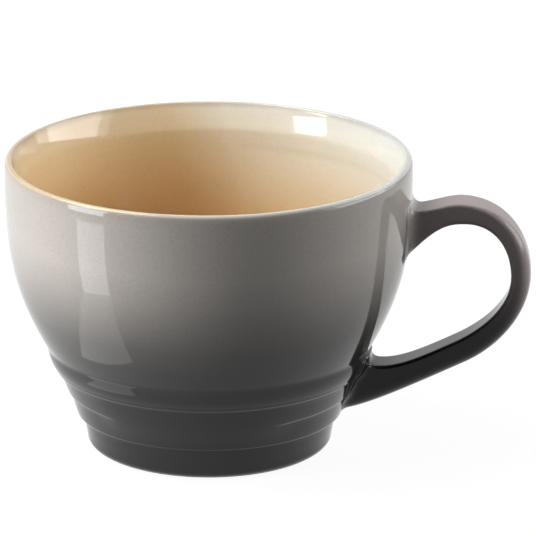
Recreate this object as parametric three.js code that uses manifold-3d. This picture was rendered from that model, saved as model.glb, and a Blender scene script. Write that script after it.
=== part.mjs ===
// A wide stoneware coffee cup with a stepped foot and a loop handle.
// Millimetres, +Z up, the axis of the bowl on Z, the handle towards +X, the table at Z = 0.
import * as THREE from "three";
import { mergeVertices } from "three/addons/utils/BufferGeometryUtils.js";
import Module from "manifold-3d";

const wasm = await Module();
wasm.setup();

// Bowl, measured on its glazed surface
const cupHeight = 83;
const rimRadius = 56.5;
const wallThickness = 4.2;
const wallLean = 0.57; // outward run for each step up, where the wall leaves the bulge
const wallLeanHold = 0.33; // share of the wall's height over which it keeps that lean
const wallUprightHold = 0.46; // share over which it stands upright below the lip
const lipOuterRun = 1.4; // from the rim's outside to the crest of the lip
const lipOuterFall = 3.2;
const lipInnerFall = 8; // the lip falls off further inside
const floorThickness = 5.6;
const floorRadius = 18; // flat part of the floor inside
const floorWallHold = 0.55; // how far the wall's lean and the flat floor reach into the round between them
const floorFlatHold = 0.32;

// Foot
const footRadius = 34.2;
const footContactRadius = 28.8;
const footEdgeHeight = 3.1; // rounded lower edge
const footHeight = 9.45;
const footFlare = 1.2;
const bareFootHeight = 0.75; // unglazed clay at the very bottom
const recessDepth = 0.9;
const recessRadius = 24.6;
const recessDraft = 0.6;

// Rings above the foot: each overhangs the one below by its step, flares out by its flare
const lowerRingStep = 1.6;
const lowerRingFlare = 2;
const lowerRingHeight = 6.95;
const upperRingStep = 0.7;
const upperRingFlare = 2.4;
const upperRingHeight = 6.45;
const bulgeStep = 1;
const bulgeFlare = 2.05;
const bulgeHeight = 6.65;
const stepRise = 0.25;
const ringRounding = 0.9; // lower edge of each ring
const ringEdgeShare = 0.8; // share of each step that belongs to that rounded edge
const bulgeFullness = 0.55; // height of the bulge's fullest place, as a share of the bulge
const edgeTightness = 0.65; // how closely the bulge and the foot's edge follow their corners

// Smooth panel in front, across which the step between the two rings fades out
const panelHalfAngle = THREE.MathUtils.degToRad(39);
const panelFade = THREE.MathUtils.degToRad(8);

// Glaze coats and the slip that bonds the handle
const glazeThickness = 0.4;
const bondGap = 0.1;
const slipThickness = 0.8;
const lipSeamAngle = THREE.MathUtils.degToRad(52); // where the two glazes meet on the lip
const lipSeamGap = 0.25;

// Handle: reach past the rim, heights below the rim or above the foot, and its section
const handleReach = 33.05;
const handleTopOut = 13.5;
const handleTopDrop = 10;
const handleSideDrop = 30.85;
const upperRootDrop = 12.6;
const upperRootHeight = 12;
const upperRootSlope = 1.05; // of the underside, where it leaves the wall
const lowerRootRise = 1.5;
const lowerRootHeight = 15.9;
const lowerRootSlope = -0.62; // of the upper side, where it lands on the rings
const armOut = 15.15;
const armRise = 15.3;
const armSlope = 0.5;
const innerTopShift = 1.9; // how much further out the top of the inner outline lies
const strapWidth = 10.5;
const strapTopThickness = 5.9;
const strapSideThickness = 5.3;
const strapArmThickness = 7.25;
const strapEdgeRounding = 0.7; // outer edges of the upper arm
const strapInnerRounding = 1.4;

// Crown of the strap's outer side, and where it sets in and is full, in stretches of the outlines
const crownDepth = 0.62; // share of the strap's thickness
const crownWidth = 0.93; // share of half its width
const crownStart = 0.9;
const crownFull = 2.2;

// How long the handle's outlines hold their direction at each place, as a share of the stretch
const rootHold = 0.3;
const undersideHold = 0.595;
const bendHold = 0.41;
const armHold = 0.345;
const tailHold = 0.437;
const landingHold = 0.16;

// Fineness of the round stretches
const roundSegments = 48;
const ringSteps = 3;
const wallSteps = 6;
const bottomSteps = 5;
const lipOuterSteps = 2;
const lipInnerSteps = 5;
const strapSteps = 7;
const cornerSteps = 4;

// Heights and radii that follow from the sizes above
const lowerRingTop = footHeight + lowerRingHeight;
const upperRingTop = lowerRingTop + upperRingHeight;
const bulgeTop = upperRingTop + bulgeHeight;
const footTopRadius = footRadius + footFlare;
const lowerRingRadius = footTopRadius + lowerRingStep + lowerRingFlare;
const upperRingRadius = lowerRingRadius + upperRingStep + upperRingFlare;
const bulgeRadius = upperRingRadius + bulgeStep + bulgeFlare;
const crestRadius = rimRadius - lipOuterRun;
const lipInnerRun = wallThickness - lipOuterRun;
const lipHeight = cupHeight - lipOuterFall;
const floorHeight = recessDepth + floorThickness;

const point = (radius, height) => new THREE.Vector2(radius, height);

// Points along a curve, from just after its start to its end
function sample(curve, steps) {
  return curve.getPoints(steps).slice(1);
}

// A cubic curve from start to end that turns tightly at the corner between them
function cornered(start, corner, end) {
  const first = start.clone().lerp(corner, edgeTightness);
  const second = end.clone().lerp(corner, edgeTightness);
  return new THREE.CubicBezierCurve(start, first, second, end);
}

// One ring: a step out over the ring below, a rounded lower edge, and a face that flares to its top
function ringLine(below, step, flare, height) {
  const corner = point(below.x + step, below.y + stepRise);
  const top = point(corner.x + flare, below.y + height);
  const edgeStart = corner.clone().lerp(below, ringEdgeShare);
  const edgeEnd = corner.clone().lerp(top, ringRounding / corner.distanceTo(top));
  const edge = new THREE.QuadraticBezierCurve(edgeStart, corner, edgeEnd);
  return [edgeStart, ...sample(edge, ringSteps), top];
}

// The bulge: the same step and lower edge, then a face that rounds up to the wall
function bulgeLine(below) {
  const ring = ringLine(below, bulgeStep, bulgeFlare, bulgeHeight);
  const top = ring.pop();
  const corner = point(bulgeRadius, THREE.MathUtils.lerp(below.y, top.y, bulgeFullness));
  return [...ring, ...sample(cornered(ring.at(-1), corner, top), ringSteps)];
}

// The wall from the bulge to the lip, and the sideways step into the clay from any point on it
function wallCurve() {
  const span = lipHeight - bulgeTop;
  const rise = wallLeanHold * span;
  const fall = wallUprightHold * span;
  const start = point(bulgeRadius, bulgeTop);
  const end = point(rimRadius, lipHeight);
  const first = point(bulgeRadius + wallLean * rise, bulgeTop + rise);
  const second = point(rimRadius, lipHeight - fall);
  return new THREE.CubicBezierCurve(start, first, second, end);
}

function inward(curve, share) {
  const along = curve.getTangent(share);
  return point(-along.y, along.x);
}

// The rounded lower edge of the foot, from the table to the upright band
function footEdge() {
  const start = point(footContactRadius, 0);
  const end = point(footRadius, footEdgeHeight);
  return cornered(start, point(footRadius, 0), end);
}

// The share of the foot's edge that lies below a height
function shareBelow(curve, height) {
  const fineness = 200;
  const index = curve.getPoints(fineness).findIndex((place) => place.y >= height);
  return index / fineness;
}

// The glazed outside, from the lower end of the glaze up to the lip
function outsideLine() {
  const edge = footEdge();
  const glazeStart = shareBelow(edge, bareFootHeight + 2 * bondGap);
  const edgeStart = edge.getPoint(glazeStart);
  const edgeMiddle = edge.getPoint((1 + glazeStart) / 2);
  const foot = [edgeStart, edgeMiddle, edge.getPoint(1), point(footTopRadius, footHeight)];
  const lowerRing = ringLine(foot.at(-1), lowerRingStep, lowerRingFlare, lowerRingHeight);
  const upperRing = ringLine(lowerRing.at(-1), upperRingStep, upperRingFlare, upperRingHeight);
  const bulge = bulgeLine(upperRing.at(-1));
  return [...foot, ...lowerRing, ...upperRing, ...bulge, ...sample(wallCurve(), wallSteps)];
}

// The lip by angle from its outer side over the crest, as two quarter ellipses
function lipArc(from, to, steps) {
  const angles = Array.from({ length: steps + 1 }, (_, i) => from + ((to - from) * i) / steps);
  return angles.map((angle) => {
    const outside = angle < Math.PI / 2;
    const run = outside ? lipOuterRun : lipInnerRun;
    const fall = outside ? lipOuterFall : lipInnerFall;
    return point(crestRadius + run * Math.cos(angle), cupHeight - fall * (1 - Math.sin(angle)));
  });
}

// The inside, from the lip down the wall and over the floor to the axis
function insideLine() {
  const wall = wallCurve();
  const places = Array.from({ length: wallSteps }, (_, i) => 1 - (i + 1) / wallSteps);
  const down = places.map((share) =>
    wall.getPoint(share).addScaledVector(inward(wall, share), wallThickness),
  );
  const start = down.at(-1);
  const end = point(floorRadius, floorHeight);
  const reach = start.distanceTo(end);
  const first = start.clone().addScaledVector(wall.getTangent(0), -floorWallHold * reach);
  const second = point(floorRadius + floorFlatHold * reach, floorHeight);
  const bottom = new THREE.CubicBezierCurve(start, first, second, end);
  return [...down, ...sample(bottom, bottomSteps), point(0, floorHeight)];
}

// The line moved sideways into the clay, with its corners kept
function inset(line, distance) {
  return line.map((place, i) => {
    const before = line[i - 1] ?? place.clone().multiplyScalar(2).sub(line[i + 1]);
    const after = line[i + 1] ?? place.clone().multiplyScalar(2).sub(line[i - 1]);
    const first = before.clone().sub(place).negate().normalize();
    const second = after.clone().sub(place).normalize();
    const stretch = distance / (1 + first.dot(second));
    const moved = place.clone();
    moved.x -= (first.y + second.y) * stretch;
    moved.y += (first.x + second.x) * stretch;
    return moved;
  });
}

// The outside across the front panel: straight from the lower ring's edge to the upper ring's top
function withPanel(line) {
  const low = point(footTopRadius + lowerRingStep, footHeight + stepRise + ringRounding);
  const high = point(upperRingRadius, upperRingTop);
  return line.map((place) => {
    const share = (place.y - low.y) / (high.y - low.y);
    const filled = share > 0 && share < 1 ? THREE.MathUtils.lerp(low.x, high.x, share) : 0;
    return point(Math.max(place.x, filled), place.y);
  });
}

// How much of the panel shows at an angle from the front
function panelShare(angle) {
  const away = Math.min(angle, 2 * Math.PI - angle);
  return 1 - THREE.MathUtils.smoothstep(away, panelHalfAngle - panelFade, panelHalfAngle + panelFade);
}

// A line turned about the axis, front first; across the panel it eases into its second form
function turn(line, panelLine = line) {
  const rows = line.length;
  const places = [];
  const faces = [];
  for (let column = 0; column < roundSegments; column += 1) {
    const angle = (column / roundSegments) * 2 * Math.PI;
    line.forEach((place, row) => {
      const { x, y } = place.clone().lerp(panelLine[row], panelShare(angle));
      places.push(new THREE.Vector3(x * Math.sin(angle), -x * Math.cos(angle), y));
    });
    for (let row = 0; row < rows - 1; row += 1) {
      const a = column * rows + row;
      const b = ((column + 1) % roundSegments) * rows + row;
      const rising = line[row + 1].y >= line[row].y;
      faces.push(...(rising ? [a, b, a + 1, b + 1, a + 1, b] : [a, b, b + 1, a, b + 1, a + 1]));
    }
  }
  return new THREE.BufferGeometry().setFromPoints(places).setIndex(faces);
}

// The same profile with and without the panel, turned
function turnBoth(profile) {
  return turn(profile(outsideLine()), profile(withPanel(outsideLine())));
}

function solidOf(geometry) {
  const bare = geometry.clone();
  bare.deleteAttribute("normal");
  bare.deleteAttribute("uv");
  const merged = mergeVertices(bare);
  return new wasm.Manifold(
    new wasm.Mesh({
      numProp: 3,
      vertProperties: merged.attributes.position.array,
      triVerts: new Uint32Array(merged.index.array),
    }),
  );
}

function geometryOf(solid) {
  const mesh = solid.getMesh();
  const geometry = new THREE.BufferGeometry();
  geometry.setAttribute("position", new THREE.BufferAttribute(mesh.vertProperties, 3));
  geometry.setIndex(new THREE.BufferAttribute(mesh.triVerts, 1));
  geometry.computeVertexNormals();
  return geometry;
}

// The whole glazed surface as one line: the outside, the lip across the seam, and the inside
function outerFace(outside) {
  return [...outside, ...lipArc(0, lipSeamAngle, lipOuterSteps).slice(1)];
}

function skinLine(outside) {
  const linerStart = lipSeamAngle + lipSeamGap / lipOuterFall;
  return [...outerFace(outside), ...lipArc(linerStart, Math.PI, lipInnerSteps), ...insideLine()];
}

// Outer glaze: the outside and the lip up to the seam, one coat thick
function bowlGlaze() {
  return turnBoth((outside) => {
    const face = outerFace(outside);
    const back = inset(skinLine(outside), glazeThickness).slice(0, face.length);
    return [...face, ...back.reverse(), face[0]];
  });
}

// Liner glaze: the lip from the seam on, and the inside
function linerGlaze() {
  const outside = outsideLine();
  const seam = outerFace(outside).length;
  const skin = skinLine(outside);
  const back = inset(skin, glazeThickness).slice(seam);
  return turn([...back.reverse(), ...skin.slice(seam)]);
}

// Clay bowl: the recess, the bare foot, and everything under the two glazes
function clayBowl() {
  const recessHeight = recessDepth + glazeThickness + bondGap;
  const edge = footEdge();
  const bareEnd = shareBelow(edge, bareFootHeight);
  const foot = [
    point(0, recessHeight),
    point(recessRadius, recessHeight),
    point(recessRadius + recessDraft, 0),
    edge.getPoint(0),
    edge.getPoint(bareEnd / 2),
    edge.getPoint(bareEnd),
  ];
  return turnBoth((outside) => [...foot, ...inset(skinLine(outside), glazeThickness + bondGap)]);
}

// Glaze disc inside the recess under the foot
function recessGlaze() {
  const low = recessRadius - bondGap;
  return turn([
    point(0, recessDepth),
    point(low, recessDepth),
    point(low, recessDepth + glazeThickness),
    point(0, recessDepth + glazeThickness),
  ]);
}

// Everything within the outside, with that line moved in by a distance and half as far up
function bowlBlock(distance) {
  const shift = point(-distance, distance / 2);
  return solidOf(
    turnBoth((outside) => {
      const face = outside.map((place) => place.clone().add(shift));
      return [point(0, face[0].y), ...face, point(0, face.at(-1).y)];
    }),
  );
}

// A curve between two places that leaves and arrives in given directions and holds each for a share
function sweep(start, leaving, end, arriving, startHold, endHold = startHold) {
  const span = start.distanceTo(end);
  const first = start.clone().addScaledVector(leaving, startHold * span);
  const second = end.clone().addScaledVector(arriving, -endHold * span);
  return new THREE.CubicBezierCurve(start, first, second, end);
}

// The handle seen from the side: its outer and inner outlines, from the upper root to the lower one
function handleOutlines() {
  const outward = point(1, 0);
  const down = point(0, -1);
  const back = point(-1, -armSlope).normalize();
  const across = point(back.y, -back.x);
  const rising = point(1, upperRootSlope).normalize();
  const landing = point(-1, -lowerRootSlope).normalize();

  const rootTop = point(rimRadius, cupHeight - upperRootDrop);
  const top = point(rimRadius + handleTopOut, cupHeight - handleTopDrop);
  const side = point(rimRadius + handleReach, cupHeight - handleSideDrop);
  const lowerEnd = point(footTopRadius, footHeight + lowerRootRise);
  const arm = point(rimRadius + armOut, lowerEnd.y + armRise);
  const outer = [
    sweep(rootTop, outward, top, outward, rootHold),
    sweep(top, outward, side, down, bendHold),
    sweep(side, down, arm, back, armHold),
    sweep(arm, back, lowerEnd, outward.clone().negate(), tailHold, landingHold),
  ];

  const innerRoot = point(rootTop.x, rootTop.y - upperRootHeight);
  const innerTop = point(top.x + innerTopShift, top.y - strapTopThickness);
  const innerSide = point(side.x - strapSideThickness, side.y);
  const innerArm = arm.clone().addScaledVector(across, strapArmThickness);
  const innerEnd = point(upperRingRadius, lowerEnd.y + lowerRootHeight);
  const inner = [
    sweep(innerRoot, rising, innerTop, outward, undersideHold, rootHold),
    sweep(innerTop, outward, innerSide, down, bendHold),
    sweep(innerSide, down, innerArm, back, armHold),
    sweep(innerArm, back, innerEnd, landing, tailHold, rootHold),
  ];

  const sunk = 2 * wallThickness;
  const outline = (start, curves) => [
    start,
    curves[0].v0,
    ...curves.flatMap((curve) => sample(curve, strapSteps)),
  ];
  return {
    outer: outline(rootTop.clone().addScaledVector(outward, -sunk), outer),
    inner: outline(innerRoot.clone().addScaledVector(rising, -sunk), inner),
  };
}

// The strap's section between two facing points of its outlines, drawn in by a distance
function strapSection(outer, inner, crown, drawnIn) {
  const middle = outer.clone().lerp(inner, 0.5);
  const across = outer.clone().sub(inner).normalize();
  const thickness = outer.distanceTo(inner);
  const halfThickness = thickness / 2 - drawnIn;
  const halfWidth = strapWidth / 2 - drawnIn;
  const deep = THREE.MathUtils.lerp(strapEdgeRounding, crownDepth * thickness, crown);
  const wide = THREE.MathUtils.lerp(strapEdgeRounding, (crownWidth * strapWidth) / 2, crown);
  const corners = [
    { out: 1, side: -1, rounding: point(deep, wide), from: 0 },
    { out: -1, side: -1, rounding: point(strapInnerRounding, strapInnerRounding), from: 1 },
    { out: -1, side: 1, rounding: point(strapInnerRounding, strapInnerRounding), from: 2 },
    { out: 1, side: 1, rounding: point(deep, wide), from: 3 },
  ];
  return corners.flatMap(({ out, side, rounding, from }) => {
    const { x: depth, y: width } = rounding.subScalar(drawnIn);
    return Array.from({ length: cornerSteps + 1 }, (_, i) => {
      const angle = ((from + i / cornerSteps) * Math.PI) / 2;
      const a = out * (halfThickness - depth) + depth * Math.cos(angle);
      const b = side * (halfWidth - width) - width * Math.sin(angle);
      return new THREE.Vector3(middle.x + across.x * a, b, middle.y + across.y * a);
    });
  });
}

// A closed skin over a row of sections, with a flat cap at each end
function loft(sections) {
  const count = sections[0].length;
  const last = (sections.length - 1) * count;
  const faces = [];
  for (let row = 0; row < sections.length - 1; row += 1) {
    for (let i = 0; i < count; i += 1) {
      const a = row * count + i;
      const b = row * count + ((i + 1) % count);
      faces.push(a, b, a + count, b, b + count, a + count);
    }
  }
  for (let i = 1; i < count - 1; i += 1) {
    faces.push(0, i + 1, i, last, last + i, last + i + 1);
  }
  const geometry = new THREE.BufferGeometry().setFromPoints(sections.flat());
  geometry.setIndex(faces);
  return geometry;
}

function strap(drawnIn) {
  const { outer, inner } = handleOutlines();
  const sections = outer.map((place, i) => {
    const crown = THREE.MathUtils.smoothstep((i - 1) / strapSteps, crownStart, crownFull);
    return strapSection(place, inner[i], crown, drawnIn);
  });
  return solidOf(loft(sections));
}

// The handle's pieces, cut to the bowl, and the openings for them in the bowl's glaze
const coatedStrap = strap(0);
const coatInside = strap(glazeThickness);
const clayStrap = strap(glazeThickness + bondGap);
const slipFace = glazeThickness - slipThickness;
const handleGlaze = coatedStrap.subtract(coatInside).subtract(bowlBlock(-bondGap));
const handleCore = clayStrap.subtract(bowlBlock(slipFace - bondGap));
const slip = clayStrap.intersect(bowlBlock(slipFace)).subtract(bowlBlock(glazeThickness));
const slipPads = slip.decompose().sort((a, b) => b.boundingBox().max[2] - a.boundingBox().max[2]);
const openGlaze = solidOf(bowlGlaze()).subtract(coatInside);

// Colours and finish
const bareClay = { color: 0xc9b191, roughness: 0.85 };
const greyGlaze = { color: 0x6b6865, roughness: 0.12 };
const creamGlaze = { color: 0xe3c9a0, roughness: 0.15 };
const slipClay = { color: 0xbda486, roughness: 0.9 };

function piece(name, geometry, look) {
  const mesh = new THREE.Mesh(geometry, new THREE.MeshStandardMaterial({ metalness: 0, ...look }));
  mesh.name = name;
  return mesh;
}

const bowl = new THREE.Group();
bowl.add(
  piece("stoneware_bowl", clayBowl(), bareClay),
  piece("bowl_glaze", geometryOf(openGlaze), greyGlaze),
  piece("liner_glaze", linerGlaze(), creamGlaze),
  piece("foot_recess_glaze", recessGlaze(), greyGlaze),
);

const handle = new THREE.Group();
handle.add(
  piece("handle_core", geometryOf(handleCore), bareClay),
  piece("handle_glaze", geometryOf(handleGlaze), greyGlaze),
  piece("upper_slip_joint", geometryOf(slipPads[0]), slipClay),
  piece("lower_slip_joint", geometryOf(slipPads[1]), slipClay),
);

const cup = new THREE.Group();
cup.add(bowl, handle);

export default cup;
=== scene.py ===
"""A wide stoneware coffee cup: grey glaze outside, cream glaze inside, a ringed foot and a strap handle."""

import math

import bmesh
import bpy
from mathutils import Matrix, Vector


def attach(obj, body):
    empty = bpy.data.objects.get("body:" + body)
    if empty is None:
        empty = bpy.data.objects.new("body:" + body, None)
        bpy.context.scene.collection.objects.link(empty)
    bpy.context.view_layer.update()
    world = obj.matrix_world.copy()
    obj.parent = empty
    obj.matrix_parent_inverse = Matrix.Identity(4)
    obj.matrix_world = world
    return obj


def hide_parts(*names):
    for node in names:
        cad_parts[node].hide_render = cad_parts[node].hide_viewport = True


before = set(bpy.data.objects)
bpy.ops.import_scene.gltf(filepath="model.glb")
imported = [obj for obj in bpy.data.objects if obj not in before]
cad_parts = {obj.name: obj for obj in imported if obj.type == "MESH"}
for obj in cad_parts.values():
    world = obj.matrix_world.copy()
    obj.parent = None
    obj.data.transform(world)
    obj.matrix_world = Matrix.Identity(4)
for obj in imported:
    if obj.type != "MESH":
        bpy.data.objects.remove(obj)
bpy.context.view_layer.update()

# Sizes are in millimetres, as in the CAD model, and points of a section are (radius, height)
MM = 0.001
COLUMNS = 192  # around the axis
ON_AXIS = 1e-6

# Wall and floor; a hold is the share of a stretch over which a curve keeps its direction
CUP_HEIGHT = 83
RIM_RADIUS = 56.5
WALL_THICKNESS = 4.2
WALL_TOP = 79.8
WALL_LEAN = 0.57
WALL_LEAN_HOLD = 0.33
WALL_UPRIGHT_HOLD = 0.46
WALL_STEPS = 48
INNER_WALL_STEPS = 40
FLOOR_HEIGHT = 6.5
FLOOR_RADIUS = 18
FLOOR_WALL_HOLD = 0.55
FLOOR_FLAT_HOLD = 0.32
BOTTOM_STEPS = 20
FLOOR_ROWS = (0.33, 0.66, 1)  # shares of the way to the axis

# Foot, and the rings above it as their lower corner and their top
FOOT_CONTACT_RADIUS = 28.8
FOOT_RADIUS = 34.2
FOOT_EDGE_HEIGHT = 3.1
FOOT_TOP = Vector((35.4, 9.45))
LOWER_RING = (Vector((37, 9.7)), Vector((39, 16.4)))
UPPER_RING = (Vector((39.7, 16.65)), Vector((42.1, 22.85)))
BULGE = (Vector((43.1, 23.1)), Vector((45.15, 29.5)))
BULGE_FULLNESS = Vector((45.15, 26.6))
CORNER_TIGHTNESS = 0.65  # how closely the foot's edge and the bulge follow their corners
RING_EDGE_SHARE = 0.65  # share of a ring's step that belongs to its rounded edge
RING_ROUNDING = 0.9
GROOVE_ROUNDING = 0.3
GROOVE_STEP_SHARE = 0.3  # the most of a ring's step that the groove takes
FOOT_EDGE_STEPS = 24
FOOT_FACE_ROWS = (0.35, 0.7)  # shares of the way up the foot's face
RING_STEPS = 9
RING_FACE_ROWS = (0.3, 0.6)  # shares of the way up a ring's face
GROOVE_STEPS = 3

# Recess under the foot, the bare clay around it, and the coats
BARE_FOOT_HEIGHT = 0.75
RECESS_DEPTH = 0.9
RECESS_RADIUS = 24.6
RECESS_DRAFT = 0.6
RECESS_CHAMFER = 0.3
RECESS_COAT_EDGE = ((0.5, 0), (0.15, 0.06), (0, 0.2))  # steps in from the coat's edge and up
GLAZE = 0.4
BOND_GAP = 0.1

# Lip: its crest, its outer rounding, the bevel inside it, and the seam between the two glazes
LIP_CREST = Vector((55.1, 83))
LIP_OUTER_START = 79.3
LIP_OUTER_HOLDS = (Vector((RIM_RADIUS, 81.7)), Vector((56.2, CUP_HEIGHT)))
LIP_CREST_HOLD = Vector((0.75, 0))
LIP_BEVEL_TOP = Vector((54, 81.7))
LIP_BEVEL_MIDDLE = Vector((52.88, 79.3))
LIP_BEVEL_END = Vector((52.15, 75.6))
LIP_BEVEL_TOP_HOLD = 0.4
LIP_BEVEL_END_HOLD = Vector((0.08, 1))
LIP_INNER_START = 71
LIP_INNER_LEAN = 0.22  # how much narrower the inside is there than an upright wall's
LIP_INNER_HOLD = Vector((0, 2))
LIP_MARGIN = 0.5  # keeps the rows of the wall clear of the lip's
LIP_STEPS = 20
LIP_BEVEL_STEPS = 10
LIP_INNER_STEPS = 6
LIP_SEAM = 12  # row of the outer rounding at which the grey glaze ends
LIP_SEAM_GAP = 0.15  # share of a row

# Smooth panel in front, as angles from the front
PANEL_START = math.radians(31)
PANEL_END = math.radians(47)
PANEL_BOW = 0.35  # how far its middle stands out from a straight line

# Handle: outer and inner outlines seen from the side, as (distance from the axis, height)
ROOT_TOP = Vector((56.5, 70.4))
STRAP_TOP = Vector((70, 73))
STRAP_SIDE = Vector((89.55, 52.15))
ARM = Vector((71.65, 26.25))
LOWER_END = Vector((35.4, 10.95))
INNER_ROOT = Vector((56.5, 58.4))
INNER_TOP = Vector((71.9, 67.1))
INNER_SIDE = Vector((84.25, 52.15))
INNER_END = Vector((42.1, 26.85))
ARM_THICKNESS = 7.25
OUTWARD = Vector((1, 0))
DOWNWARD = Vector((0, -1))
ALONG_ARM = Vector((-1, -0.5)).normalized()
RISING = Vector((1, 1.05)).normalized()  # the underside, where it leaves the wall
LANDING = Vector((-1, 0.62)).normalized()  # the upper side, where it lands on the rings
ROOT_HOLD = 0.3
UNDERSIDE_HOLD = 0.595
BEND_HOLD = 0.41
ARM_HOLD = 0.345
TAIL_HOLD = 0.437
LANDING_HOLD = 0.16
SUNK = (2.9, 2.4, 1.9, 1.5, 1.2, 0.9, 0.6, 0.3, 0)  # depths of the upper root's rows in the wall
STRETCH_STEPS = (30, 24, 24, 60)
ROOT_CROWDING = 1.6  # draws the rows of the first stretch towards the root

# Handle: its section, which grows a crown between two places counted in stretches, and its fillets
STRAP_WIDTH = 10.5
EDGE_ROUNDING = 0.7
INNER_ROUNDING = 1.4
CROWN_START = 0.9
CROWN_FULL = 2.2
CROWN_DEPTH = 0.62  # share of the strap's thickness
CROWN_WIDTH = 0.93  # share of half its width
ARC_STEPS = 12
FLAT_STEPS = 5
TOP_FILLET = 2.8
SIDE_FILLET = 3.5
LOW_FILLET = 1.2
FREE_STRETCHES = (1, 3)  # between these the strap is clear of the bowl

# Looks
NOISE_RANGE = (0.3, 0.7)  # where most values of a noise lie
MIX_SHARE, MIX_FIRST, MIX_SECOND, MIX_RESULT = 0, 6, 7, 2  # sockets of a mix of colours
WHITE = (1, 1, 1)
MAUVE_CAST = (1.18, 1, 0.96)
ROOT_BLEND_REACH = (56.5, 58.3)  # where the handle's glaze leaves the bowl's tone; near the wall this is partly the bowl's glaze running on, partly painted light over the shaded crease
ROOT_BLEND_HEIGHT = (48, 54)
LINER_PAINTED_SHADE_START = 52  # above this height the liner's painted light and shade shift sideways, as a shadow edge would
LINER_PAINTED_SHADE_LEAN = 8
OUTER_IOR = 1.4
HANDLE_IOR = 1.3
LINER_IOR = 1.5

# Camera, at the photograph's viewing angle, in degrees and metres
AZIMUTH = 7
ELEVATION = 18.14
DISTANCE = 1.5
AIM_RIGHT = 0.0164
AIM_UP = 0.00869
LENS = 361.8  # focal length in millimetres

# Studio, with lengths in metres
STAGE_RADIUS = 3
STAGE_SEGMENTS = 96
STAGE_GAP = 0.00001  # keeps the floor clear of the foot ring
FLOOR_BOUNCE = (0.05, 0.05, 0.05, 1)
FLOOR_SHADING = (0.1, 0.1, 0.1, 1)
FLOOR_WHITE = 0.93
ROOM_LIGHT = 0.02
LAMP_AIM = Vector((0, 0, 0.05))
STRIP_AZIMUTH = -51
STRIP_FOOT_DISTANCE = 0.105
STRIP_FOOT_HEIGHT = 0.002


def curve(steps, *control):
    """Points along the Bezier curve of the control points, after its start."""
    line = []
    for i in range(1, steps + 1):
        level = control
        while len(level) > 1:
            level = [a.lerp(b, i / steps) for a, b in zip(level, level[1:])]
        line.append(level[0])
    return line


def cornered(steps, start, corner, end):
    """A curve from start to end that follows their corner closely."""
    return curve(steps, start, start.lerp(corner, CORNER_TIGHTNESS), end.lerp(corner, CORNER_TIGHTNESS), end)


def towards(start, end, distance):
    """The place at a distance from start on the way to end."""
    return start + (end - start).normalized() * distance


def smooth(value, low, high):
    """An even rise from 0 at the low value to 1 at the high one."""
    share = min(max((value - low) / (high - low), 0), 1)
    return share * share * (3 - 2 * share)


def foot_edge():
    """The rounded lower edge of the foot, from the ring that it stands on."""
    start = Vector((FOOT_CONTACT_RADIUS, 0))
    return cornered(FOOT_EDGE_STEPS, start, Vector((FOOT_RADIUS, 0)), Vector((FOOT_RADIUS, FOOT_EDGE_HEIGHT)))


def ring(below, corner, top):
    """A ring's line: a filleted groove over the ring below, a rounded lower edge, and its face."""
    step = (corner - below).length
    groove = towards(below, corner, min(GROOVE_ROUNDING, GROOVE_STEP_SHARE * step))
    edge_start = corner.lerp(below, RING_EDGE_SHARE)
    edge_end = towards(corner, top, RING_ROUNDING)
    face = [edge_end.lerp(top, share) for share in RING_FACE_ROWS]
    return [groove, *curve(RING_STEPS, edge_start, corner, edge_end), *face]


def outside_line():
    """The glazed outside, from the lower edge of the glaze to the seam on the lip."""
    edge = foot_edge()
    below = edge[-1]
    line = [place for place in edge if place.y > BARE_FOOT_HEIGHT + 2 * BOND_GAP]
    line += [below.lerp(FOOT_TOP, share) for share in FOOT_FACE_ROWS]
    tops = (FOOT_TOP, LOWER_RING[1], UPPER_RING[1])
    for bottom, (corner, top) in zip(tops, (LOWER_RING, UPPER_RING, BULGE)):
        groove_start = towards(bottom, below, GROOVE_ROUNDING)
        rows = ring(bottom, corner, top)
        line += [groove_start, *curve(GROOVE_STEPS, groove_start, bottom, rows[0]), *rows[1:]]
        below = corner
    # The bulge swells where a ring has its straight face
    line = line[: -len(RING_FACE_ROWS)]
    line += cornered(RING_STEPS, line[-1], BULGE_FULLNESS, BULGE[1])
    return line + wall_line() + lip_outer()


def wall_controls():
    """The control points of the wall between the bulge and the lip."""
    start = BULGE[1]
    end = Vector((RIM_RADIUS, WALL_TOP))
    span = end.y - start.y
    rise = WALL_LEAN_HOLD * span
    first = start + Vector((WALL_LEAN * rise, rise))
    return start, first, end - Vector((0, WALL_UPRIGHT_HOLD * span)), end


def wall_line():
    """The outside of the wall, up to where the lip starts to round."""
    return [place for place in curve(WALL_STEPS, *wall_controls()) if place.y < LIP_OUTER_START - LIP_MARGIN]


def lip_over():
    """The outer rounding of the lip, from the wall to its crest."""
    start = Vector((RIM_RADIUS, LIP_OUTER_START))
    return [start, *curve(LIP_STEPS, start, *LIP_OUTER_HOLDS, LIP_CREST)]


def lip_outer():
    """The part of the lip's outer rounding that the grey glaze covers."""
    return lip_over()[: LIP_SEAM + 1]


def lip_inner():
    """The lip from the seam over its crest and down the bevel inside it."""
    over = lip_over()[LIP_SEAM:]
    over[0] = over[0].lerp(over[1], LIP_SEAM_GAP)
    hold = LIP_BEVEL_TOP + (LIP_BEVEL_TOP - LIP_BEVEL_MIDDLE) * LIP_BEVEL_TOP_HOLD
    inner = curve(LIP_BEVEL_STEPS, LIP_CREST, LIP_CREST - LIP_CREST_HOLD, hold, LIP_BEVEL_TOP)
    bevel = curve(LIP_BEVEL_STEPS, LIP_BEVEL_TOP, LIP_BEVEL_MIDDLE, LIP_BEVEL_END)
    end = Vector((RIM_RADIUS - WALL_THICKNESS - LIP_INNER_LEAN, LIP_INNER_START))
    holds = (LIP_BEVEL_END - LIP_BEVEL_END_HOLD, end + LIP_INNER_HOLD)
    return over + inner + bevel + curve(LIP_INNER_STEPS, LIP_BEVEL_END, *holds, end)


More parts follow.
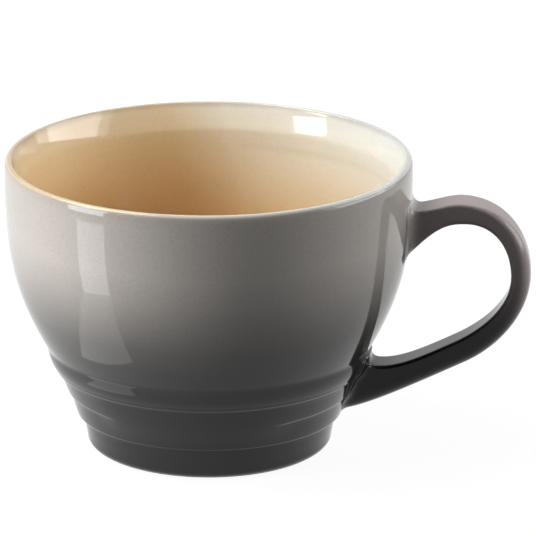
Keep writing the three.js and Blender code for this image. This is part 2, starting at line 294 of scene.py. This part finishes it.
def inside_line():
    """The inside, from under the lip down the wall and over the floor to the axis."""
    wall = curve(INNER_WALL_STEPS, *wall_controls())
    line = []
    for before, place, after in zip(wall, wall[1:], wall[2:]):
        along = (after - before).normalized()
        line.append(place + Vector((-along.y, along.x)) * WALL_THICKNESS)
    line = [place for place in reversed(line) if place.y < LIP_INNER_START - LIP_MARGIN]
    start = line[-1]
    end = Vector((FLOOR_RADIUS, FLOOR_HEIGHT))
    reach = (end - start).length
    down = (line[-1] - line[-2]).normalized()
    holds = (start + down * FLOOR_WALL_HOLD * reach, end + Vector((FLOOR_FLAT_HOLD * reach, 0)))
    middle = Vector((0, FLOOR_HEIGHT))
    return line + curve(BOTTOM_STEPS, start, *holds, end) + [end.lerp(middle, share) for share in FLOOR_ROWS]


def inset(line, distance):
    """The line moved sideways into the clay, with its corners kept."""
    moved = []
    for i, place in enumerate(line):
        before = line[i - 1] if i else 2 * place - line[1]
        after = line[i + 1] if i + 1 < len(line) else 2 * place - line[-2]
        first = (place - before).normalized()
        second = (after - place).normalized()
        stretch = distance / (1 + first.dot(second))
        total = first + second
        moved.append(place + Vector((-total.y, total.x)) * stretch)
    return moved


def with_panel(line):
    """The outside across the panel: slightly bowed from the lower ring's edge to the upper ring's top."""
    low = LOWER_RING[0] + Vector((0, RING_ROUNDING))
    high = UPPER_RING[1]
    filled = []
    for place in line:
        share = (place.y - low.y) / (high.y - low.y)
        straight = low.x + (high.x - low.x) * share
        level = straight + PANEL_BOW * 4 * share * (1 - share) if 0 < share < 1 else 0
        filled.append(Vector((max(place.x, level), place.y)))
    return filled


def panel_share(angle):
    """How much of the panel shows at an angle from the front."""
    return 1 - smooth(min(angle, math.tau - angle), PANEL_START, PANEL_END)


def coat_line(face, liner):
    """The closed section of the outer coat: its face and the same line one coat deeper."""
    back = inset(face + liner, GLAZE)[: len(face)]
    return face + back[::-1]


def liner_line(face, liner):
    """The section of the liner, up its face and down its back."""
    return liner[::-1] + inset(face + liner, GLAZE)[len(face) :]


def clay_line(face, liner):
    """The section of the clay: the recess, the bare foot ring, and the line under both glazes."""
    top = RECESS_DEPTH + GLAZE + BOND_GAP
    edge = Vector((RECESS_RADIUS + RECESS_DRAFT, 0))
    recess = [
        Vector((0, top)),
        Vector((RECESS_RADIUS, top)),
        edge + Vector((-RECESS_CHAMFER / 2, RECESS_CHAMFER)),
        edge + Vector((RECESS_CHAMFER, 0)),
    ]
    bare = [place for place in foot_edge() if place.y < BARE_FOOT_HEIGHT]
    return recess + [Vector((FOOT_CONTACT_RADIUS, 0))] + bare + inset(face + liner, GLAZE + BOND_GAP)


def recess_line():
    """The section of the coat in the recess, with a rounded edge."""
    edge = RECESS_RADIUS - BOND_GAP
    rounded = [Vector((edge - back, RECESS_DEPTH + up)) for back, up in RECESS_COAT_EDGE]
    face = [Vector((0, RECESS_DEPTH)), Vector((edge / 2, RECESS_DEPTH)), *rounded]
    return face + [Vector((edge, RECESS_DEPTH + GLAZE)), Vector((0, RECESS_DEPTH + GLAZE))]


def turned(line, panel_line=None, closed=False):
    """A line turned about the axis, front first; across the panel it eases into its second form."""
    mesh = bmesh.new()
    rings = []
    for row, place in enumerate(line):
        if place.x < ON_AXIS:
            rings.append([mesh.verts.new((0, 0, place.y))] * COLUMNS)
            continue
        verts = []
        for column in range(COLUMNS):
            angle = math.tau * column / COLUMNS
            spot = place.lerp(panel_line[row], panel_share(angle)) if panel_line else place
            verts.append(mesh.verts.new((spot.x * math.sin(angle), -spot.x * math.cos(angle), spot.y)))
        rings.append(verts)
    pairs = list(zip(rings, rings[1:]))
    if closed:
        pairs.append((rings[-1], rings[0]))
    for low, high in pairs:
        for i in range(COLUMNS):
            j = (i + 1) % COLUMNS
            # A row on the axis is one point, which makes triangles of its faces
            mesh.faces.new(dict.fromkeys((low[i], low[j], high[j], high[i])))
    return mesh


def sweep(start, leaving, end, arriving, start_hold, end_hold):
    """A curve between two places that holds its direction at each end for a share of the stretch."""
    span = (end - start).length
    first = start + leaving * start_hold * span
    second = end - arriving * end_hold * span

    def place(share):
        low = start.lerp(first, share)
        middle = first.lerp(second, share)
        high = second.lerp(end, share)
        return low.lerp(middle, share).lerp(middle.lerp(high, share), share)

    return place


def handle_outlines():
    """Facing points of the handle's outer and inner outlines, with their place counted in stretches."""
    inner_arm = ARM + Vector((ALONG_ARM.y, -ALONG_ARM.x)) * ARM_THICKNESS
    outer = (
        sweep(ROOT_TOP, OUTWARD, STRAP_TOP, OUTWARD, ROOT_HOLD, ROOT_HOLD),
        sweep(STRAP_TOP, OUTWARD, STRAP_SIDE, DOWNWARD, BEND_HOLD, BEND_HOLD),
        sweep(STRAP_SIDE, DOWNWARD, ARM, ALONG_ARM, ARM_HOLD, ARM_HOLD),
        sweep(ARM, ALONG_ARM, LOWER_END, -OUTWARD, TAIL_HOLD, LANDING_HOLD),
    )
    inner = (
        sweep(INNER_ROOT, RISING, INNER_TOP, OUTWARD, UNDERSIDE_HOLD, ROOT_HOLD),
        sweep(INNER_TOP, OUTWARD, INNER_SIDE, DOWNWARD, BEND_HOLD, BEND_HOLD),
        sweep(INNER_SIDE, DOWNWARD, inner_arm, ALONG_ARM, ARM_HOLD, ARM_HOLD),
        sweep(inner_arm, ALONG_ARM, INNER_END, LANDING, TAIL_HOLD, ROOT_HOLD),
    )
    rows = [(0, ROOT_TOP - OUTWARD * depth, INNER_ROOT - RISING * depth) for depth in SUNK]
    for stretch, steps in enumerate(STRETCH_STEPS):
        for i in range(1, steps + 1):
            share = (i / steps) ** (ROOT_CROWDING if stretch == 0 else 1)
            rows.append((stretch + share, outer[stretch](share), inner[stretch](share)))
    return rows


def clearance(place, line):
    """How far a place in space is outside the turned line, and 0 within it."""
    spot = Vector((math.hypot(place.x, place.y), place.z))
    nearest = math.inf
    for start, end in zip(line, line[1:]):
        along = end - start
        share = min(max((spot - start).dot(along) / along.length_squared, 0), 1)
        offset = spot - start - along * share
        if offset.length < abs(nearest):
            outward = Vector((along.y, -along.x))
            nearest = offset.length if offset.dot(outward) > 0 else -offset.length
    return max(nearest, 0)


def strap_section(stretch, outer, inner, drawn_in):
    """Points around the strap between two facing points of its outlines, and their outward directions."""
    middle = outer.lerp(inner, 0.5)
    across = (outer - inner).normalized()
    thickness = (outer - inner).length
    half_thickness = thickness / 2 - drawn_in
    half_width = STRAP_WIDTH / 2 - drawn_in
    crown = smooth(stretch, CROWN_START, CROWN_FULL)
    deep = EDGE_ROUNDING + crown * (CROWN_DEPTH * thickness - EDGE_ROUNDING) - drawn_in
    wide = EDGE_ROUNDING + crown * (CROWN_WIDTH * STRAP_WIDTH / 2 - EDGE_ROUNDING) - drawn_in
    edge = INNER_ROUNDING - drawn_in
    corners = ((1, -1, deep, wide), (-1, -1, edge, edge), (-1, 1, edge, edge), (1, 1, deep, wide))
    arcs = []
    for quarter, (out, side, depth, width) in enumerate(corners):
        arc = []
        for i in range(ARC_STEPS):
            angle = (quarter + i / (ARC_STEPS - 1)) * math.pi / 2
            ahead, beside = math.cos(angle), -math.sin(angle)
            a = out * (half_thickness - depth) + depth * ahead
            b = side * (half_width - width) + width * beside
            arc.append((a, b, ahead, beside))
        arcs.append(arc)
    points = []
    for arc, following in zip(arcs, arcs[1:] + arcs[:1]):
        ends = list(zip(arc[-1], following[0]))
        flat = [[p + (q - p) * i / FLAT_STEPS for p, q in ends] for i in range(1, FLAT_STEPS)]
        for a, b, ahead, beside in arc + flat:
            place = Vector((middle.x + across.x * a, b, middle.y + across.y * a))
            direction = Vector((across.x * ahead, beside, across.y * ahead)).normalized()
            points.append((place, direction))
    return points


def strap_rows(drawn_in, wall):
    """The strap's sections as points, flared into fillets where they meet the bowl."""
    free_from, free_to = FREE_STRETCHES
    rows = []
    for stretch, outer, inner in handle_outlines():
        row = []
        for place, direction in strap_section(stretch, outer, inner, drawn_in):
            upright = TOP_FILLET if direction.z > 0 else LOW_FILLET
            fillet = SIDE_FILLET + abs(direction.z) * (upright - SIDE_FILLET)
            free = free_from < stretch < free_to
            near = 0 if free else max(fillet - clearance(place, wall), 0)
            flare = fillet - math.sqrt(fillet**2 - near**2)
            row.append(place + direction * flare)
        rows.append(row)
    return rows


def handle_mesh(wall):
    """The glaze coat around the strap: an outer and an inner skin, joined at the two roots."""
    mesh = bmesh.new()
    skins = [
        [[mesh.verts.new(place) for place in row] for row in strap_rows(drawn_in, wall)]
        for drawn_in in (0, GLAZE)
    ]
    loops = skins[0] + skins[1][::-1]
    for low, high in zip(loops, loops[1:] + loops[:1]):
        for i in range(len(low)):
            j = (i + 1) % len(low)
            mesh.faces.new((low[i], low[j], high[j], high[i]))
    return mesh


def finished(name, mesh, slot, material, *nodes):
    """Turns a bmesh in millimetres into a smooth piece that stands for CAD nodes."""
    bmesh.ops.recalc_face_normals(mesh, faces=mesh.faces)
    data = bpy.data.meshes.new(name)
    mesh.to_mesh(data)
    mesh.free()
    data.transform(Matrix.Scale(MM, 4))
    data.shade_smooth()
    piece = bpy.data.objects.new(name, data)
    piece.data.materials.append(material)
    bpy.context.collection.objects.link(piece)
    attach(piece, "root")
    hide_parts(*nodes)


class Shader:
    """A procedural material or world, built node by node."""

    def __init__(self, name):
        self.material = bpy.data.materials.new(name)
        self.material.use_nodes = True
        self.tree = self.material.node_tree
        self.surface = self.tree.nodes["Principled BSDF"]

    @classmethod
    def around(cls, tree):
        """A shader on a node tree that is there already."""
        made = cls.__new__(cls)
        made.tree = tree
        return made

    def node(self, kind, inputs=None, **settings):
        made = self.tree.nodes.new("ShaderNode" + kind)
        for key, value in settings.items():
            setattr(made, key, value)
        for key, value in (inputs or {}).items():
            self.set(made.inputs[key], value)
        return made

    def set(self, socket, value):
        """Links a socket to another one, or gives it a value."""
        if isinstance(value, bpy.types.NodeSocket):
            self.tree.links.new(value, socket)
        else:
            socket.default_value = value

    def place(self, axis):
        """The place along an axis of the cup in millimetres."""
        spot = self.node("TexCoord").outputs["Object"]
        return self.math("MULTIPLY", self.node("SeparateXYZ", {0: spot}).outputs[axis], 1 / MM)

    def height(self):
        """The height above the table in millimetres."""
        return self.place("Z")

    def math(self, operation, first, second):
        return self.node("Math", {0: first, 1: second}, operation=operation).outputs[0]

    def noise(self, scale, detail):
        place = self.node("TexCoord").outputs["Object"]
        return self.node("TexNoise", {"Vector": place, "Scale": scale, "Detail": detail}).outputs["Fac"]

    def between(self, noise, start, end):
        """A noise spread between two values."""
        return self.span(noise, *NOISE_RANGE, start, end)

    def ramp(self, factor, stops):
        """A colour ramp through (position, colour) stops."""
        made = self.node("ValToRGB", {"Fac": factor})
        stops_made = made.color_ramp.elements
        while len(stops_made) < len(stops):
            stops_made.new(1)
        for element, (position, colour) in zip(stops_made, stops):
            element.position = position
            element.color = (*colour, 1)
        return made.outputs["Color"]

    def up_the_cup(self, stops, drift):
        """A colour that runs through (height, colour) stops, at heights that drift a little."""
        height = self.math("ADD", self.height(), drift)
        return self.ramp(self.span(height, 0, CUP_HEIGHT), [(z / CUP_HEIGHT, c) for z, c in stops])

    def span(self, value, low, high, start=0.0, end=1.0):
        """A value taken from one span to another."""
        inputs = {"Value": value, "From Min": low, "From Max": high, "To Min": start, "To Max": end}
        return self.node("MapRange", inputs).outputs["Result"]

    def mix(self, share, first, second, blend="MIX"):
        made = self.node("Mix", data_type="RGBA", blend_type=blend)
        self.set(made.inputs[MIX_SHARE], share)
        self.set(made.inputs[MIX_FIRST], first)
        self.set(made.inputs[MIX_SECOND], second)
        return made.outputs[MIX_RESULT]

    def tinted(self, colour, tint, share):
        """A colour multiplied by a tint, to a share of the tint's strength."""
        return self.mix(share, colour, tint, "MULTIPLY")

    def background_rays(self):
        """1 for the rays that show the white background: seen directly, mirrored or through glass."""
        rays = self.node("LightPath").outputs
        mirrored = self.math("MAXIMUM", rays["Is Glossy Ray"], rays["Is Transmission Ray"])
        return self.math("MAXIMUM", rays["Is Camera Ray"], mirrored)

    def bump(self, height, strength, distance):
        inputs = {"Height": height, "Strength": strength, "Distance": distance}
        return self.node("Bump", inputs).outputs["Normal"]

    def finish(self, **inputs):
        for key, value in inputs.items():
            self.set(self.surface.inputs[key.replace("_", " ")], value)
        return self.material


def grey(level, warmth=0.0):
    """A linear grey, plain or with a slight warm or cool cast."""
    return level * (1 + warmth), level, level * (1 - warmth)


def mauve(level):
    """A linear grey with the handle's reddish cast."""
    return tuple(level * share for share in MAUVE_CAST)


def glaze_gradient(name, stops, ior, root_colour=None):
    """A glossy glaze whose colour runs with height, with fine speckle and a faintly wavy surface."""
    shader = Shader(name)
    colour = shader.up_the_cup(stops, drift=shader.between(shader.noise(scale=22, detail=3), -1.2, 1.2))
    # Near the wall the handle takes the bowl's pale tone: partly the bowl's glaze running onto the root,
    # partly painted light over the shaded crease where the handle meets the wall.
    if root_colour:
        reach = shader.span(shader.place("X"), *ROOT_BLEND_REACH, 1, 0)
        near = shader.math("MULTIPLY", reach, shader.span(shader.height(), *ROOT_BLEND_HEIGHT))
        colour = shader.mix(near, colour, (*root_colour, 1))
    specks = [(0.32, grey(0.86)), (0.5, WHITE), (0.72, grey(1.08))]
    speckle = shader.ramp(shader.noise(scale=1500, detail=2), specks)
    colour = shader.tinted(colour, speckle, share=0.45)
    roughness = shader.between(shader.noise(scale=60, detail=3), 0.045, 0.075)
    wave = shader.bump(shader.noise(scale=55, detail=2), strength=0.12, distance=0.0006)
    return shader.finish(Base_Color=colour, Roughness=roughness, Normal=wave, IOR=ior)


def cream_liner():
    """The cream glaze inside, with painted light and shade: deeper in tone towards the bottom as painted
    shade, tan on the shaded side and pale on the lit side.
    """
    shader = Shader("cream_glaze")
    # Painted shade: the cream gets deeper and more tan towards the bottom, as shade and bounced light deep
    # inside would make it. It is darker on the bevel under the lip. The grey on the crest is partly the
    # glaze's own colour there, partly painted shade.
    stops = [
        (50, (0.68, 0.46, 0.24)),
        (56, (0.79, 0.62, 0.41)),
        (63, (0.88, 0.76, 0.58)),
        (70, (0.92, 0.85, 0.71)),
        (77, (0.91, 0.86, 0.75)),
        (81, (0.8, 0.75, 0.66)),
        (82.6, (0.56, 0.52, 0.46)),
    ]
    colour = shader.up_the_cup(stops, drift=shader.between(shader.noise(scale=18, detail=3), -1.5, 1.5))
    # Painted light and shade across the inside: tan on the left, where it is shaded, pale on the right, where
    # it is lit, and toned down at the far right. The edge between them leans with height like the rim's
    # shadow.
    painted_shadow_edge_lean = shader.span(shader.height(), LINER_PAINTED_SHADE_START, CUP_HEIGHT, 0, LINER_PAINTED_SHADE_LEAN)
    side = shader.span(shader.math("ADD", shader.place("X"), painted_shadow_edge_lean), -RIM_RADIUS, RIM_RADIUS)
    painted_light_tones = [
        (0.1, (0.83, 0.69, 0.5)),
        (0.4, (0.87, 0.73, 0.51)),
        (0.55, (1, 0.99, 0.93)),
        (1, (0.8, 0.88, 0.95)),
    ]
    colour = shader.tinted(colour, shader.ramp(side, painted_light_tones), share=1)
    speckle = shader.ramp(shader.noise(scale=1300, detail=2), [(0.3, grey(0.93)), (0.5, WHITE)])
    colour = shader.tinted(colour, speckle, share=0.7)
    roughness = shader.between(shader.noise(scale=70, detail=3), 0.06, 0.1)
    wave = shader.bump(shader.noise(scale=50, detail=2), strength=0.1, distance=0.0006)
    return shader.finish(Base_Color=colour, Roughness=roughness, Normal=wave, IOR=LINER_IOR)


def bare_clay():
    """Fired stoneware without glaze: matt, sandy and slightly pitted."""
    shader = Shader("bare_clay")
    cloud = shader.noise(scale=90, detail=4)
    colour = shader.ramp(cloud, [(0.3, (0.48, 0.34, 0.22)), (0.7, (0.6, 0.45, 0.31))])
    grains = shader.ramp(shader.noise(scale=2200, detail=2), [(0.3, grey(0.6)), (0.42, WHITE)])
    colour = shader.tinted(colour, grains, share=0.8)
    pits = shader.bump(shader.noise(scale=2600, detail=3), strength=0.35, distance=0.0001)
    roughness = shader.between(cloud, 0.75, 0.92)
    return shader.finish(Base_Color=colour, Roughness=roughness, Normal=pits)


def lamp(name, width, height, power, place, rotation):
    """A rectangular light that the camera doesn't see."""
    light = bpy.data.lights.new(name, "AREA")
    light.shape = "RECTANGLE"
    light.size = width
    light.size_y = height
    light.energy = power
    box = bpy.data.objects.new(name, light)
    box.location = place
    box.rotation_euler = rotation
    box.visible_camera = False
    bpy.context.collection.objects.link(box)
    return box


def seen_from_cup(azimuth, elevation):
    """A direction away from the cup, at degrees to the right of the front and above the level."""
    turn, lift = math.radians(azimuth), math.radians(elevation)
    return Vector((math.sin(turn) * math.cos(lift), -math.cos(turn) * math.cos(lift), math.sin(lift)))


def softbox(name, azimuth, elevation, distance, width, height, power):
    """A studio light that faces the cup."""
    away = seen_from_cup(azimuth, elevation)
    rotation = (-away).to_track_quat("-Z", "Y").to_euler()
    return lamp(name, width, height, power, away * distance + LAMP_AIM, rotation)


# Camera
camera_turn = math.radians(AZIMUTH)
ahead = -seen_from_cup(AZIMUTH, ELEVATION)
rightward = Vector((math.cos(camera_turn), math.sin(camera_turn), 0))
upward = rightward.cross(ahead)
eye = Vector((0, 0, CUP_HEIGHT * MM / 2)) - ahead * DISTANCE
target = eye + ahead * DISTANCE + rightward * AIM_RIGHT + upward * AIM_UP
camera = bpy.data.objects.new("camera", bpy.data.cameras.new("camera"))
camera.data.lens = LENS
camera.location = eye
camera.rotation_euler = (target - eye).to_track_quat("-Z", "Y").to_euler()
bpy.context.collection.objects.link(camera)
bpy.context.scene.camera = camera

# Glazes and clay
PALE = grey(0.33, 0.08)
OUTER_STOPS = [
    (4, grey(0.018, -0.04)),
    (26, grey(0.022)),
    (35, grey(0.042, 0.03)),
    (42, grey(0.085, 0.05)),
    (49, grey(0.165, 0.07)),
    (57, grey(0.26, 0.08)),
    (65, PALE),
    (78.5, PALE),
    # The last two stops darken the grey over the lip's outer rounding, as painted shade for the darker
    # surroundings that it mirrors.
    (80.3, grey(0.325, 0.09)),
    (83, grey(0.29, 0.1)),
]
HANDLE_STOPS = [
    (12, mauve(0.008)),
    (30, mauve(0.01)),
    (38, mauve(0.03)),
    (45, mauve(0.11)),
    (52, mauve(0.2)),
    (60, mauve(0.22)),
    (74, mauve(0.21)),
]
outer_look = glaze_gradient("grey_glaze", OUTER_STOPS, OUTER_IOR)
handle_look = glaze_gradient("handle_glaze", HANDLE_STOPS, HANDLE_IOR, PALE)
cream_look = cream_liner()
clay_look = bare_clay()

# Bowl
outside = outside_line()
panelled = with_panel(outside)
liner = lip_inner() + inside_line()
coat = turned(coat_line(outside, liner), coat_line(panelled, liner), closed=True)
clay = turned(clay_line(outside, liner), clay_line(panelled, liner))
finished("outer_glaze", coat, "grey_glaze", outer_look, "bowl_glaze")
finished("liner", turned(liner_line(outside, liner)), "cream_glaze", cream_look, "liner_glaze")
finished("clay_body", clay, "clay", clay_look, "stoneware_bowl")
finished("recess_coat", turned(recess_line()), "grey_glaze", outer_look, "foot_recess_glaze")

# Handle
finished("handle_coat", handle_mesh(outside), "handle_glaze", handle_look, "handle_glaze")
# Its core and the joints, which the glaze hides, are the CAD solids in bare clay
for name in ("handle_core", "upper_slip_joint", "lower_slip_joint"):
    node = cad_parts[name]
    node.data.materials.clear()
    node.data.materials.append(clay_look)

# Floor: plain white with the cup's shadow on it; the light that it throws back on the cup is dim
floor_mesh = bmesh.new()
bmesh.ops.create_circle(floor_mesh, cap_ends=True, segments=STAGE_SEGMENTS, radius=STAGE_RADIUS)
floor_data = bpy.data.meshes.new("floor")
floor_mesh.to_mesh(floor_data)
floor_mesh.free()
floor = bpy.data.objects.new("floor", floor_data)
bpy.context.collection.objects.link(floor)
floor.location.z = -STAGE_GAP

studio = Shader("floor")
matt = studio.node("BsdfDiffuse", {"Color": FLOOR_BOUNCE}).outputs[0]
faint = studio.node("BsdfDiffuse", {"Color": FLOOR_SHADING}).outputs[0]
white = studio.node("Emission", {"Color": (*WHITE, 1), "Strength": FLOOR_WHITE}).outputs[0]
shadowed = studio.node("AddShader", {0: faint, 1: white}).outputs[0]
plain = studio.node("MixShader", {0: studio.background_rays(), 1: matt, 2: shadowed}).outputs[0]
studio.set(studio.tree.nodes["Material Output"].inputs["Surface"], plain)
floor.data.materials.append(studio.material)

# World: white behind the cup, and dim light from all round
world = bpy.data.worlds.new("studio")
world.use_nodes = True
bpy.context.scene.world = world
sky = Shader.around(world.node_tree)
background = world.node_tree.nodes["Background"]
sky.set(background.inputs["Color"], (*WHITE, 1))
sky.set(background.inputs["Strength"], sky.span(sky.background_rays(), 0, 1, ROOM_LIGHT, 1))

# Lights
softbox("key", azimuth=-61, elevation=12, distance=0.5, width=0.2, height=0.28, power=1.5)
softbox("left", azimuth=-88, elevation=56, distance=0.9, width=0.6, height=0.6, power=9.4)
low = softbox("low", azimuth=-50, elevation=-4, distance=0.15, width=0.05, height=0.06, power=0.065)
low.visible_glossy = False
softbox(
    "strip", azimuth=STRIP_AZIMUTH, elevation=-10, distance=0.151, width=0.041, height=0.045, power=0.02
)
softbox("fill", azimuth=102, elevation=20, distance=0.9, width=1, height=0.65, power=4.4)
softbox("fill_core", azimuth=100, elevation=18, distance=0.9, width=0.65, height=0.45, power=3.6)
softbox("back", azimuth=195, elevation=42, distance=0.9, width=1, height=0.4, power=1.6)

# The strip's foot lies on the table and shines up
along_strip = seen_from_cup(STRIP_AZIMUTH, 0)
lamp(
    "strip_foot",
    width=0.085,
    height=0.041,
    power=0.011,
    place=along_strip * STRIP_FOOT_DISTANCE + Vector((0, 0, STRIP_FOOT_HEIGHT)),
    rotation=(math.pi, 0, math.atan2(along_strip.y, along_strip.x)),
)

bpy.context.scene.view_settings.view_transform = "Standard"

bpy.context.view_layer.update()
